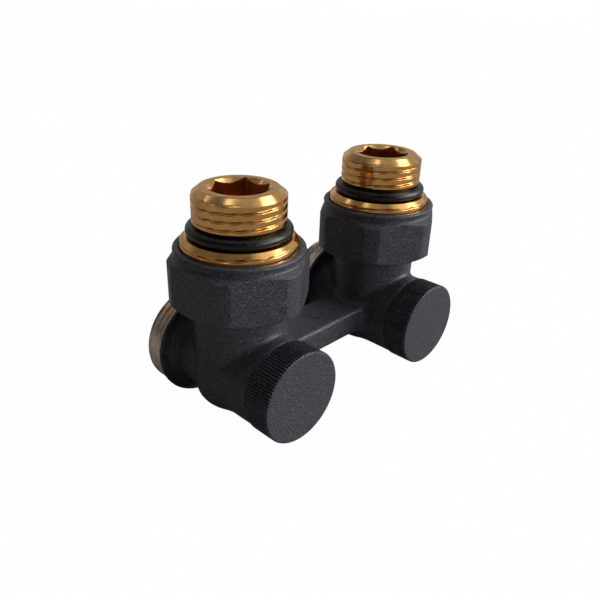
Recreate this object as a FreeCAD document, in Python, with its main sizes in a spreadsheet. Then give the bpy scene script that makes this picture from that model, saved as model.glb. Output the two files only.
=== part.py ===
import FreeCAD, Part
import os
import re
import Sketcher

# Twin radiator connection valve block, in millimetres.
# X runs along the two legs, the caps face -Y, the pipe threads face +Y and the
# nipples stand up along +Z. The origin lies midway between the legs, under the
# lowest point of the pipe shoulders. Every leg piece is drawn about the point
# where its neck's axis crosses its barrel's axis, and is then placed on its leg.

SHEET = "Sizes"

SIZES = {
    # the block as a whole
    "leg_spacing": 50.0,
    "free_fit": 0.05,
    "thread_fit": 0.08,
    "ring_side_gap": 0.075,
    "overcut": 1.0,
    # casting: barrels and necks of one radius, and the bridge between the legs
    "cast_radius": 11.1,
    "barrel_front": 13.9,
    "barrel_back": 3.0,
    "tail_set_in": 3.02,
    "tail_fillet": 1.6,
    "neck_wall": 3.6,
    "neck_foot": 8.3,
    "neck_foot_inset": 2.0,
    "neck_foot_knee_inset": 0.6,
    "neck_foot_knee_rise": 1.4,
    "neck_foot_rise": 3.4,
    "bridge_half_depth": 6.3,
    "bridge_half_height": 3.45,
    "bridge_edge_fillet": 1.1,
    # casting: the pipe end with its outside thread, and its shoulder
    "pipe_thread_radius": 13.22,
    "pipe_thread_length": 6.4,
    "pipe_end_chamfer": 1.2,
    "pipe_wall": 5.22,
    "pipe_cone_rise": 1.4,
    "pipe_cone_length": 4.5,
    "shoulder_front": 13.7,
    "shoulder_width": 0.9,
    "shoulder_rise": 0.48,
    # casting: the shut-off bore, its seat and the stub that carries the cap
    "spindle_bore_radius": 7.0,
    "stub_length": 4.8,
    "stub_wall": 1.5,
    "stub_chamfer": 0.6,
    "stub_mouth_step": 0.3,
    "seat_front": 4.0,
    "seat_radius": 4.6,
    "seat_length": 2.0,
    "seat_cone_length": 2.5,
    # cap and its seal
    "cap_wall": 1.77,
    "cap_end_wall": 1.3,
    "cap_face_inset": 0.4,
    "cap_edge": 0.35,
    "cap_seam": 0.3,
    "knurl_count": 96,
    "knurl_depth": 0.26,
    "cap_gasket_thickness": 1.0,
    "cap_gasket_hole": 6.4,
    # ring that stops the spindle from being screwed out
    "circlip_inset": 1.15,
    "circlip_groove_depth": 1.0,
    "circlip_thickness": 0.8,
    "circlip_overlap": 1.0,
    "circlip_angle": 310.0,
    # shut-off spindle with its rings
    "shut_off_stroke": 3.0,
    "spindle_thread_length": 3.65,
    "spindle_socket_flats": 6.0,
    "spindle_socket_depth": 4.6,
    "spindle_ring_thickness": 1.75,
    "spindle_land": 0.9,
    "spindle_stem_radius": 3.6,
    "spindle_head_thickness": 1.7,
    "washer_gap": 0.8,
    "washer_overhang": 0.2,
    "washer_thickness": 1.8,
    "boss_radius": 2.2,
    "boss_rim_radius": 3.0,
    "boss_rim_thickness": 0.5,
    # union nut and the ring that keeps it on the neck
    "union_thread_step": 2.12,
    "nut_clearance": 3.5,
    "nut_wall": 1.7,
    "nut_flat_span": 45.0,
    "nut_height": 13.7,
    "nut_top_chamfer": 0.6,
    "nut_collar_set_in": 0.1,
    "nut_collar_height": 2.3,
    "nut_cone_height": 0.75,
    "nut_foot_set_in": 0.5,
    "nut_foot_cone": 1.1,
    "nut_lip_thickness": 2.0,
    "nut_lip_gap": 0.3,
    "left_nut_angle": 34.5,
    "right_nut_angle": 33.5,
    "wire_radius": 0.85,
    "wire_groove_depth": 0.7,
    "wire_inset": 2.65,
    "wire_angle": 325.0,
    # seal between neck and nipple
    "union_gasket_thickness": 1.5,
    "union_gasket_inset": 0.3,
    # double nipple and its ring
    "union_thread_length": 9.0,
    "union_thread_chamfer": 1.0,
    "radiator_thread_radius": 10.478,
    "radiator_thread_length": 8.1,
    "nipple_lead_in": 1.45,
    "nipple_ring_thickness": 2.4,
    "nipple_ring_groove_depth": 1.028,
    "nipple_ring_groove_chamfer": 0.7,
    "nipple_socket_flats": 12.0,
    "nipple_socket_depth": 9.0,
    "nipple_bore_step": 0.8,
    "nipple_rim_width": 1.8,
    "nipple_countersink_margin": 0.022,
    "nipple_countersink_depth": 1.0,
    "nipple_tail_bore_depth": 3.0,
    "nipple_tail_cone": 2.4,
    "left_nipple_angle": 38.0,
    "right_nipple_angle": 14.0,
}

# Sizes that follow from the driving ones, so that what fits together stays together.
WORKED_OUT = {
    # casting
    "neck_bore_radius": "cast_radius - neck_wall",
    "tail_radius": "pipe_thread_radius - tail_set_in",
    "shoulder_radius": "pipe_thread_radius + shoulder_rise",
    "thread_start": "shoulder_front + shoulder_width",
    "pipe_end": "thread_start + pipe_thread_length",
    "pipe_bore_radius": "pipe_thread_radius - pipe_wall",
    "pipe_mouth_radius": "pipe_bore_radius + pipe_cone_rise",
    "stub_front": "barrel_front + stub_length",
    "stub_mouth_radius": "spindle_bore_radius + stub_mouth_step",
    "circlip_groove_radius": "spindle_bore_radius + circlip_groove_depth",
    "stub_radius": "circlip_groove_radius + stub_wall",
    "circlip_groove_front": "stub_front - circlip_inset",
    "circlip_groove_back": "circlip_groove_front - circlip_thickness - 2 * free_fit",
    # cap
    "cap_face": "stub_front + cap_gasket_thickness + cap_end_wall",
    "cap_bore_radius": "stub_radius + thread_fit",
    "cap_radius": "cap_bore_radius + cap_wall",
    "knurl_half_pitch": "pi * cap_radius / knurl_count",
    # spindle, counted forwards from the neck's axis
    "spindle_radius": "spindle_bore_radius - free_fit",
    "spindle_front": "circlip_groove_back - free_fit",
    "spindle_ring_groove_width": "spindle_ring_thickness + 2 * ring_side_gap",
    "spindle_ring_groove_radius": "spindle_radius - spindle_ring_thickness - free_fit",
    "spindle_ring_front": "spindle_front - spindle_thread_length",
    "spindle_ring_back": "spindle_ring_front - spindle_ring_groove_width",
    "washer_back": "seat_front - shut_off_stroke",
    "washer_front": "washer_back - washer_thickness",
    "washer_radius": "spindle_bore_radius - washer_gap",
    "spindle_head_radius": "washer_radius - washer_overhang",
    "boss_end": "washer_back + free_fit",
    # union joint, counted upwards from the barrel's axis
    "union_thread_radius": "cast_radius + union_thread_step",
    "nut_bore_radius": "union_thread_radius + thread_fit",
    "nut_flat_radius": "nut_bore_radius + nut_wall",
    "nut_corner_radius": "nut_flat_radius / cos(nut_flat_span / 2)",
    "nut_collar_radius": "nut_flat_radius - nut_collar_set_in",
    "nut_foot_radius": "nut_flat_radius - nut_foot_set_in",
    "nut_bottom": "shoulder_radius + nut_clearance",
    "nut_top": "nut_bottom + nut_height",
    "nut_collar_bottom": "nut_top - nut_collar_height",
    "nut_cone_bottom": "nut_collar_bottom - nut_cone_height",
    "nut_lip_top": "nut_bottom + nut_lip_thickness",
    "wire_height": "nut_lip_top + 2 * free_fit + wire_radius",
    "wire_groove_radius": "cast_radius - wire_groove_depth",
    "neck_top": "wire_height + wire_inset",
    "gasket_top": "neck_top + union_gasket_thickness",
    # nipple
    "union_thread_top": "gasket_top + union_thread_length",
    "nipple_ring_groove_radius": "radiator_thread_radius - nipple_ring_groove_depth",
    "nipple_ring_groove_top": "union_thread_top + nipple_ring_thickness + 2 * ring_side_gap",
    "nipple_top": "nipple_ring_groove_top + radiator_thread_length",
    "nipple_bore_radius": "nipple_socket_flats / 2 - nipple_bore_step",
    "nipple_countersink_radius": "nipple_socket_flats / 2 / cos(30 deg) + nipple_countersink_margin",
    "nipple_face_radius": "nipple_countersink_radius + nipple_rim_width",
    "nipple_tail_bore_top": "gasket_top + nipple_tail_bore_depth",
}

SIDES = {"left": -1, "right": 1}
HEXAGON_SIDES = 6
ON_AXIS = "0"
MATCH = 0.01

document = FreeCAD.newDocument("ConnectionBlock")
sub_parts = []


def fill_sheet():
    """Write the driving sizes in the sheet's first column and the worked-out ones in its second."""
    sheet = document.addObject("Spreadsheet::Sheet", SHEET)
    for row, (alias, value) in enumerate(SIZES.items(), start=1):
        sheet.set(f"A{row}", str(value))
        sheet.setAlias(f"A{row}", alias)
    for row, (alias, formula) in enumerate(WORKED_OUT.items(), start=1):
        sheet.set(f"B{row}", f"={formula}")
        sheet.setAlias(f"B{row}", alias)
    document.recompute()


def bound(expression):
    """Put the sheet's name before each alias of an expression."""
    aliases = SIZES.keys() | WORKED_OUT.keys()

    def named(word):
        return f"{SHEET}.{word[0]}" if word[0] in aliases else word[0]

    return re.sub("[a-z_]+", named, expression)


def new_body(name, side=None, turn=ON_AXIS):
    """Start a sub-part, on the block's axis plane or on one leg, turned about its neck."""
    body = document.addObject("PartDesign::Body", name)
    body.Label = name
    body.Placement = FreeCAD.Placement(FreeCAD.Vector(), FreeCAD.Rotation(FreeCAD.Vector(0, 0, 1), 0))
    body.setExpression("Placement.Base.z", bound("shoulder_radius"))
    if side:
        body.setExpression("Placement.Base.x", bound(f"{SIDES[side]} * leg_spacing / 2"))
    if turn != ON_AXIS:
        body.setExpression("Placement.Rotation.Angle", bound(turn))
    sub_parts.append(body)
    return body


def origin_feature(body, role):
    """The plane or axis of the sub-part's own origin that has this role."""
    return next(item for item in body.Origin.OriginFeatures if item.Role == role)


def new_sketch(body, name, plane, shift=ON_AXIS, lift=ON_AXIS):
    """A sketch on an origin plane, shifted along the plane's first axis and lifted off it."""
    sketch = body.newObject("Sketcher::SketchObject", name)
    sketch.AttachmentSupport = [(origin_feature(body, plane), "")]
    sketch.MapMode = "FlatFace"
    sketch.setExpression("AttachmentOffset.Base.x", bound(shift))
    sketch.setExpression("AttachmentOffset.Base.z", bound(lift))
    return sketch


def pin_point(sketch, line, end, across, up):
    """Hold one end of a line at two named distances from the sketch's origin."""
    for kind, size, axis in (("DistanceX", across, -2), ("DistanceY", up, -1)):
        if size == ON_AXIS:
            sketch.addConstraint(Sketcher.Constraint("PointOnObject", line, end, axis))
            continue
        value = sketch.evalExpression(bound(size))
        index = sketch.addConstraint(Sketcher.Constraint(kind, -1, 1, line, end, value))
        sketch.setExpression(f"Constraints[{index}]", bound(size))


def draw_outline(sketch, corners):
    """A closed outline of straight lines through corners given as pairs of expressions."""
    places = [[sketch.evalExpression(bound(size)) for size in corner] for corner in corners]
    points = [FreeCAD.Vector(*place, 0) for place in places]
    for start, end in zip(points, points[1:] + points[:1]):
        sketch.addGeometry(Part.LineSegment(start, end))
    for line, corner in enumerate(corners):
        following = (line + 1) % len(corners)
        sketch.addConstraint(Sketcher.Constraint("Coincident", line, 2, following, 1))
        pin_point(sketch, line, 1, *corner)
    return sketch


def draw_circle(sketch, across, up, radius):
    """A circle with its centre and radius held by expressions."""
    centre = FreeCAD.Vector(sketch.evalExpression(bound(across)), sketch.evalExpression(bound(up)), 0)
    size = sketch.evalExpression(bound(radius))
    sketch.addGeometry(Part.Circle(centre, FreeCAD.Vector(0, 0, 1), size))
    pin_point(sketch, 0, 3, across, up)
    index = sketch.addConstraint(Sketcher.Constraint("Radius", 0, size))
    sketch.setExpression(f"Constraints[{index}]", bound(radius))
    return sketch


def draw_hexagon(sketch, flat_radius):
    """A hexagon with its flats this far from the centre and a corner on the first axis."""
    reach = f"{flat_radius} / cos(30 deg)"
    angles = [360 * corner / HEXAGON_SIDES for corner in range(HEXAGON_SIDES)]
    return draw_outline(sketch, [(f"{reach} * cos({a} deg)", f"{reach} * sin({a} deg)") for a in angles])


def turned(body, name, sketch, kind="Revolution", angle=None):
    """Turn a sketch about its own upright axis, as a Revolution or as a Groove."""
    feature = body.newObject(f"PartDesign::{kind}", name)
    feature.Profile = sketch
    feature.ReferenceAxis = (sketch, ["V_Axis"])
    feature.Angle = 360
    if angle:
        feature.setExpression("Angle", bound(angle))
    sketch.Visibility = False
    return feature


def turned_about_neck(body, name, corners, kind="Revolution", shift=ON_AXIS):
    """Turn an outline of (radius, height) corners about the upright axis of the neck."""
    sketch = new_sketch(body, f"{name}Profile", "XZ_Plane", shift)
    return turned(body, name, draw_outline(sketch, corners), kind)


def turned_about_barrel(body, name, corners, kind="Revolution", shift=ON_AXIS):
    """Turn an outline of (radius, place along Y) corners about the barrel's axis."""
    sketch = new_sketch(body, f"{name}Profile", "XY_Plane", shift)
    return turned(body, name, draw_outline(sketch, corners), kind)


def extruded(body, name, sketch, length, kind="Pad", backwards=False):
    """Pad or pocket a sketch by a named length."""
    feature = body.newObject(f"PartDesign::{kind}", name)
    feature.Profile = sketch
    feature.setExpression("Length", bound(length))
    feature.Reversed = backwards
    sketch.Visibility = False
    return feature


def round_edges(body, name, radius, chosen):
    """Fillet the edges of the sub-part so far that the test picks."""
    document.recompute()
    base = body.Tip
    edges = [f"Edge{number}" for number, edge in enumerate(base.Shape.Edges, start=1) if chosen(edge)]
    feature = body.newObject("PartDesign::Fillet", name)
    feature.Base = (base, edges)
    feature.setExpression("Radius", bound(radius))
    return feature


def size_of(expression):
    """The value of an expression of driving sizes."""
    return float(document.getObject(SHEET).evalExpression(bound(expression)))


def is_tail_end(edge):
    """Whether an edge is the circle where the tail of a barrel meets its shoulder."""
    curve = edge.Curve
    if not isinstance(curve, Part.Circle) or abs(curve.Radius - size_of("tail_radius")) > MATCH:
        return False
    return abs(curve.Center.y - size_of("shoulder_front")) < MATCH


def is_bridge_edge(edge):
    """Whether an edge is one of the bridge's four long edges."""
    middle = edge.BoundBox.Center
    deep = abs(abs(middle.y) - size_of("bridge_half_depth")) < MATCH and edge.BoundBox.YLength < MATCH
    high = abs(abs(middle.z) - size_of("bridge_half_height")) < MATCH and edge.BoundBox.ZLength < MATCH
    return deep and high


# Casting


def build_valve_body():
    """The block's casting: one leg with its bores and half the bridge, then its mirror image."""
    body = new_body("valve_body")
    leg = "-leg_spacing / 2"
    section = new_sketch(body, "BridgeSection", "YZ_Plane")
    draw_outline(section, [
        ("-bridge_half_depth", "-bridge_half_height"),
        ("bridge_half_depth", "-bridge_half_height"),
        ("bridge_half_depth", "bridge_half_height"),
        ("-bridge_half_depth", "bridge_half_height"),
    ])
    extruded(body, "Bridge", section, "leg_spacing / 2", backwards=True)
    round_edges(body, "BridgeEdges", "bridge_edge_fillet", is_bridge_edge)
    turned_about_neck(body, "Neck", [
        (ON_AXIS, "-neck_foot"),
        ("cast_radius - neck_foot_inset", "-neck_foot"),
        ("cast_radius - neck_foot_knee_inset", "-neck_foot + neck_foot_knee_rise"),
        ("cast_radius", "-neck_foot + neck_foot_rise"),
        ("cast_radius", "neck_top"),
        (ON_AXIS, "neck_top"),
    ], shift=leg)
    turned_about_barrel(body, "Barrel", [
        (ON_AXIS, "-stub_front"),
        ("stub_radius - stub_chamfer", "-stub_front"),
        ("stub_radius", "-stub_front + stub_chamfer"),
        ("stub_radius", "-barrel_front"),
        ("cast_radius", "-barrel_front"),
        ("cast_radius", "barrel_back"),
        ("tail_radius", "barrel_back"),
        ("tail_radius", "shoulder_front"),
        ("shoulder_radius", "shoulder_front"),
        ("shoulder_radius", "thread_start"),
        ("pipe_thread_radius", "thread_start"),
        ("pipe_thread_radius", "pipe_end - pipe_end_chamfer"),
        ("pipe_thread_radius - pipe_end_chamfer", "pipe_end"),
        (ON_AXIS, "pipe_end"),
    ], shift=leg)
    round_edges(body, "TailFillet", "tail_fillet", is_tail_end)
    cut_shut_off_bore(body, leg)
    cut_pipe_bore(body, leg)
    cut_neck(body, leg)
    document.recompute()
    mirrored = body.newObject("PartDesign::Mirrored", "RightLeg")
    mirrored.TransformMode = "Whole shape"
    mirrored.MirrorPlane = (origin_feature(body, "YZ_Plane"), [""])
    body.Tip = mirrored


def cut_shut_off_bore(body, leg):
    """The stepped bore for the spindle: stub mouth, circlip groove, bore and chamber up to the seat."""
    turned_about_barrel(body, "ShutOffBore", [
        (ON_AXIS, "-stub_front - overcut"),
        ("stub_mouth_radius", "-stub_front - overcut"),
        ("stub_mouth_radius", "-circlip_groove_front"),
        ("circlip_groove_radius", "-circlip_groove_front"),
        ("circlip_groove_radius", "-circlip_groove_back"),
        ("spindle_bore_radius", "-circlip_groove_back"),
        ("spindle_bore_radius", "seat_front"),
        (ON_AXIS, "seat_front"),
    ], "Groove", leg)


def cut_pipe_bore(body, leg):
    """The waterway behind the seat: seat hole, cone, pipe bore and the sealing cone at its mouth."""
    seat_end = "seat_front + seat_length"
    turned_about_barrel(body, "PipeBore", [
        (ON_AXIS, "seat_front - overcut"),
        ("seat_radius", "seat_front - overcut"),
        ("seat_radius", seat_end),
        ("pipe_bore_radius", f"{seat_end} + seat_cone_length"),
        ("pipe_bore_radius", "pipe_end - pipe_cone_length"),
        ("pipe_mouth_radius", "pipe_end"),
        ("pipe_mouth_radius", "pipe_end + overcut"),
        (ON_AXIS, "pipe_end + overcut"),
    ], "Groove", leg)


def cut_neck(body, leg):
    """The neck's bore and the groove round its outside that holds the retaining ring."""
    turned_about_neck(body, "NeckBore", [
        (ON_AXIS, ON_AXIS),
        ("neck_bore_radius", ON_AXIS),
        ("neck_bore_radius", "neck_top + overcut"),
        (ON_AXIS, "neck_top + overcut"),
    ], "Groove", leg)
    low = "wire_height - wire_radius - free_fit"
    high = "wire_height + wire_radius + free_fit"
    turned_about_neck(body, "WireGroove", [
        ("wire_groove_radius", low),
        ("cast_radius + overcut", low),
        ("cast_radius + overcut", high),
        ("wire_groove_radius", high),
    ], "Groove", leg)


# Union joint on the neck


def build_union_nut(side):
    """Hexagon swivel nut with a turned collar and turned corners, a thread bore and a lip under the ring."""
    body = new_body(f"{side}_union_nut", side, f"{side}_nut_angle")
    hexagon = new_sketch(body, "Hexagon", "XY_Plane", lift="nut_bottom")
    draw_hexagon(hexagon, "nut_flat_radius")
    extruded(body, "Prism", hexagon, "nut_height")
    turned_about_neck(body, "TurnedOutside", [
        ("nut_collar_radius - nut_top_chamfer", "nut_top + overcut"),
        ("nut_collar_radius - nut_top_chamfer", "nut_top"),
        ("nut_collar_radius", "nut_top - nut_top_chamfer"),
        ("nut_collar_radius", "nut_collar_bottom"),
        ("nut_corner_radius", "nut_cone_bottom"),
        ("nut_corner_radius", "nut_bottom + nut_foot_cone"),
        ("nut_foot_radius", "nut_bottom"),
        ("nut_foot_radius", "nut_bottom - overcut"),
        ("nut_corner_radius + 2 * overcut", "nut_bottom - overcut"),
        ("nut_corner_radius + 2 * overcut", "nut_top + overcut"),
    ], "Groove")
    turned_about_neck(body, "Bore", [
        (ON_AXIS, "nut_bottom - overcut"),
        ("cast_radius + nut_lip_gap", "nut_bottom - overcut"),
        ("cast_radius + nut_lip_gap", "nut_lip_top"),
        ("nut_bore_radius", "nut_lip_top"),
        ("nut_bore_radius", "nut_top + overcut"),
        (ON_AXIS, "nut_top + overcut"),
    ], "Groove")


def build_retaining_ring(side):
    """Open wire ring, sprung into the neck's groove above the nut's lip."""
    body = new_body(f"{side}_retaining_ring", side)
    section = new_sketch(body, "Wire", "XZ_Plane")
    draw_circle(section, "wire_groove_radius + free_fit + wire_radius", "wire_height", "wire_radius")
    turned(body, "Ring", section, angle="wire_angle")


def build_union_gasket(side):
    """Flat seal on the end of the neck, under the nipple."""
    turned_about_neck(new_body(f"{side}_union_gasket", side), "Gasket", [
        ("neck_bore_radius + union_gasket_inset", "neck_top"),
        ("cast_radius - union_gasket_inset", "neck_top"),
        ("cast_radius - union_gasket_inset", "gasket_top"),
        ("neck_bore_radius + union_gasket_inset", "gasket_top"),
    ])


# Double nipple


def build_nipple(side):
    """Brass double nipple: wide union thread, ring groove, narrow radiator thread and socket."""
    body = new_body(f"{side}_nipple", side, f"{side}_nipple_angle")
    turned_about_neck(body, "Turning", [
        ("neck_bore_radius", "gasket_top"),
        ("union_thread_radius - union_thread_chamfer", "gasket_top"),
        ("union_thread_radius", "gasket_top + union_thread_chamfer"),
        ("union_thread_radius", "union_thread_top - union_thread_chamfer"),
        ("union_thread_radius - union_thread_chamfer", "union_thread_top"),
        ("nipple_ring_groove_radius", "union_thread_top"),
        ("nipple_ring_groove_radius", "nipple_ring_groove_top"),
        ("radiator_thread_radius", "nipple_ring_groove_top + nipple_ring_groove_chamfer"),
        ("radiator_thread_radius", "nipple_top - nipple_lead_in"),
        ("nipple_face_radius", "nipple_top"),
        ("nipple_countersink_radius", "nipple_top"),
        ("nipple_bore_radius", "nipple_top - nipple_countersink_depth"),
        ("nipple_bore_radius", "nipple_tail_bore_top + nipple_tail_cone"),
        ("neck_bore_radius", "nipple_tail_bore_top"),
    ])
    socket = new_sketch(body, "SocketHexagon", "XY_Plane", lift="nipple_top")
    draw_hexagon(socket, "nipple_socket_flats / 2")
    extruded(body, "Socket", socket, "nipple_socket_depth", "Pocket")


def build_nipple_o_ring(side):
    """Rubber ring in the groove between the nipple's two threads."""
    body = new_body(f"{side}_nipple_o_ring", side)
    section = new_sketch(body, "RingSection", "XZ_Plane")
    radius = "nipple_ring_thickness / 2"
    draw_circle(section, f"nipple_ring_groove_radius + free_fit + {radius}",
                f"union_thread_top + ring_side_gap + {radius}", radius)
    turned(body, "Ring", section)


# Shut-off spindle in the barrel


def build_spindle(side):
    """Brass shut-off spindle: threaded front with a socket, ring groove, stem, head and washer boss."""
    body = new_body(f"{side}_spindle", side)
    turned_about_barrel(body, "Turning", [
        (ON_AXIS, "-spindle_front"),
        ("spindle_radius", "-spindle_front"),
        ("spindle_radius", "-spindle_ring_front"),
        ("spindle_ring_groove_radius", "-spindle_ring_front"),
        ("spindle_ring_groove_radius", "-spindle_ring_back"),
        ("spindle_radius", "-spindle_ring_back"),
        ("spindle_radius", "-spindle_ring_back + spindle_land"),
        ("spindle_stem_radius", "-spindle_ring_back + 2 * spindle_land"),
        ("spindle_stem_radius", "washer_front - spindle_head_thickness"),
        ("spindle_head_radius", "washer_front - spindle_head_thickness"),
        ("spindle_head_radius", "washer_front"),
        ("boss_radius", "washer_front"),
        ("boss_radius", "boss_end"),
        ("boss_rim_radius", "boss_end"),
        ("boss_rim_radius", "boss_end + boss_rim_thickness"),
        (ON_AXIS, "boss_end + boss_rim_thickness"),
    ])
    socket = new_sketch(body, "SocketHexagon", "XZ_Plane", lift="spindle_front")
    draw_hexagon(socket, "spindle_socket_flats / 2")
    extruded(body, "Socket", socket, "spindle_socket_depth", "Pocket")


def build_spindle_o_ring(side):
    """Rubber ring that seals the spindle in its bore."""
    body = new_body(f"{side}_spindle_o_ring", side)
    section = new_sketch(body, "RingSection", "XY_Plane")
    radius = "spindle_ring_thickness / 2"
    middle = "-(spindle_ring_front + spindle_ring_back) / 2"
    draw_circle(section, f"spindle_radius - {radius}", middle, radius)
    turned(body, "Ring", section)


def build_seat_washer(side):
    """Soft washer between the spindle's head and the rim of its boss."""
    turned_about_barrel(new_body(f"{side}_seat_washer", side), "Washer", [
        ("boss_radius + free_fit", "washer_front"),
        ("washer_radius", "washer_front"),
        ("washer_radius", "washer_back"),
        ("boss_radius + free_fit", "washer_back"),
    ])


def build_circlip(side):
    """Open flat ring in the stub's groove, which stops the spindle from being screwed out."""
    body = new_body(f"{side}_circlip", side)
    front = "-circlip_groove_front + free_fit"
    back = "-circlip_groove_back - free_fit"
    section = new_sketch(body, "ClipSection", "XY_Plane")
    draw_outline(section, [
        ("spindle_bore_radius - circlip_overlap", front),
        ("circlip_groove_radius - free_fit", front),
        ("circlip_groove_radius - free_fit", back),
        ("spindle_bore_radius - circlip_overlap", back),
    ])
    turned(body, "Clip", section, angle="circlip_angle")


# Cap over the spindle


def build_cap(side):
    """Knurled cap: turned cup with an inside thread, then straight grooves round its rim."""
    body = new_body(f"{side}_cap", side)
    rim = "-barrel_front - cap_seam"
    turned_about_barrel(body, "Cup", [
        (ON_AXIS, "-cap_face"),
        ("cap_radius - cap_face_inset", "-cap_face"),
        ("cap_radius", "-cap_face + cap_edge"),
        ("cap_radius", rim),
        ("cap_bore_radius", rim),
        ("cap_bore_radius", "-cap_face + cap_end_wall"),
        (ON_AXIS, "-cap_face + cap_end_wall"),
    ])
    notch = new_sketch(body, "KnurlNotch", "XZ_Plane", lift="barrel_front")
    draw_outline(notch, [
        (ON_AXIS, "cap_radius - knurl_depth"),
        ("knurl_half_pitch", "cap_radius + knurl_depth / 2"),
        ("-knurl_half_pitch", "cap_radius + knurl_depth / 2"),
    ])
    groove = extruded(body, "KnurlGroove", notch, "cap_face - barrel_front + overcut", "Pocket", True)
    document.recompute()
    pattern = body.newObject("PartDesign::PolarPattern", "Knurl")
    pattern.Originals = [groove]
    pattern.Axis = (origin_feature(body, "Y_Axis"), [""])
    pattern.Angle = 360
    pattern.setExpression("Occurrences", bound("knurl_count"))
    body.Tip = pattern


def build_cap_gasket(side):
    """Flat seal between the stub's end and the inside of the cap."""
    front = "-cap_face + cap_end_wall"
    turned_about_barrel(new_body(f"{side}_cap_gasket", side), "Gasket", [
        ("cap_gasket_hole", front),
        ("stub_radius - free_fit", front),
        ("stub_radius - free_fit", f"{front} + cap_gasket_thickness"),
        ("cap_gasket_hole", f"{front} + cap_gasket_thickness"),
    ])


def check_document():
    """Stop if a feature has failed, or if a sub-part is not one valid solid."""
    document.recompute()
    for item in document.Objects:
        if "Invalid" in item.State or "Error" in item.State:
            raise RuntimeError(f"{item.Name} in state {item.State}")
    for body in sub_parts:
        shape = body.Shape
        if shape.isNull() or not shape.isValid() or len(shape.Solids) != 1:
            raise RuntimeError(f"{body.Label} is not one valid solid")


def write_parts():
    """Write each sub-part to its own file, named by its label."""
    os.makedirs("parts", exist_ok=True)
    for body in sub_parts:
        body.Shape.exportStep(f"parts/{body.Label}.step")
        print(f"{body.Label}: {body.Shape.Volume:.1f} mm3")


fill_sheet()
build_valve_body()
for leg_side in SIDES:
    build_retaining_ring(leg_side)
    build_union_gasket(leg_side)
    build_circlip(leg_side)
    build_union_nut(leg_side)
    build_nipple(leg_side)
    build_nipple_o_ring(leg_side)
    build_spindle(leg_side)
    build_spindle_o_ring(leg_side)
    build_seat_washer(leg_side)
    build_cap(leg_side)
    build_cap_gasket(leg_side)
check_document()
write_parts()
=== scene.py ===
import logging
import math
from dataclasses import dataclass
from enum import Enum
from typing import Sequence

import bmesh
import bpy
import numpy as np
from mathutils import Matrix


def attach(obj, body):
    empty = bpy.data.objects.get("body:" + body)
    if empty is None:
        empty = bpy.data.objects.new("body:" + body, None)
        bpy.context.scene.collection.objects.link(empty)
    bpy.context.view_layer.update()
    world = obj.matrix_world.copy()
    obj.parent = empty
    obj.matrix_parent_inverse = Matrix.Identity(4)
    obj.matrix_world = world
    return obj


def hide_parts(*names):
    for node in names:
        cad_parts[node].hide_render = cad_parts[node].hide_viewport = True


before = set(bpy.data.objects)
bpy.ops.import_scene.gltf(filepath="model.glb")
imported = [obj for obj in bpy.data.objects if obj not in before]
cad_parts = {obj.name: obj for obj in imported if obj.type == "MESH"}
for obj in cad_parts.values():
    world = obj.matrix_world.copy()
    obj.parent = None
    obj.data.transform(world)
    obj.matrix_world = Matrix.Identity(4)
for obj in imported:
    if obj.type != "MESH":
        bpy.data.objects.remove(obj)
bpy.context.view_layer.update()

import openvdb
from mathutils import Matrix, Vector

# Twin radiator connection valve block. Sizes are in millimetres and turn into metres
# when a piece is placed. A turned piece is drawn about the Z axis first. Heights on a
# neck and depths on a barrel count from the point where the two axes cross. CUT marks
# rings that a node tree reshapes from outside, MATE those that it reshapes from inside.

MM = 0.001
LEG_OFFSET = 25.0
AXIS_HEIGHT = 13.7
PIPE_PITCH = 1.814
PIPE_CREST = 13.22
PIPE_THREAD_DEPTH = 0.45
THREAD_STEP = 0.1
CHAMFER_STEP = 0.12
CUT, MATE = 1.0, -1.0
FULL_TURN = 2.0 * math.pi

Colour = tuple[float, float, float, float]
Range = tuple[float, float]

log = logging.getLogger("valve_block")


class Side(Enum):
    """The two legs of the block."""

    LEFT = "left"
    RIGHT = "right"

    @property
    def x(self) -> float:
        """Distance of the leg from the middle of the block."""
        return -LEG_OFFSET if self is Side.LEFT else LEG_OFFSET

    def pick(self, pair: Range) -> float:
        """Value for this leg out of a pair for left and right."""
        return pair[0] if self is Side.LEFT else pair[1]


class Facing(Enum):
    """Where a turned piece's own Z axis points once it is placed."""

    UP = Matrix.Identity(4)
    FRONT = Matrix.Rotation(math.pi / 2, 4, "X")
    BACK = Matrix.Rotation(-math.pi / 2, 4, "X")


# Node trees


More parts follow.
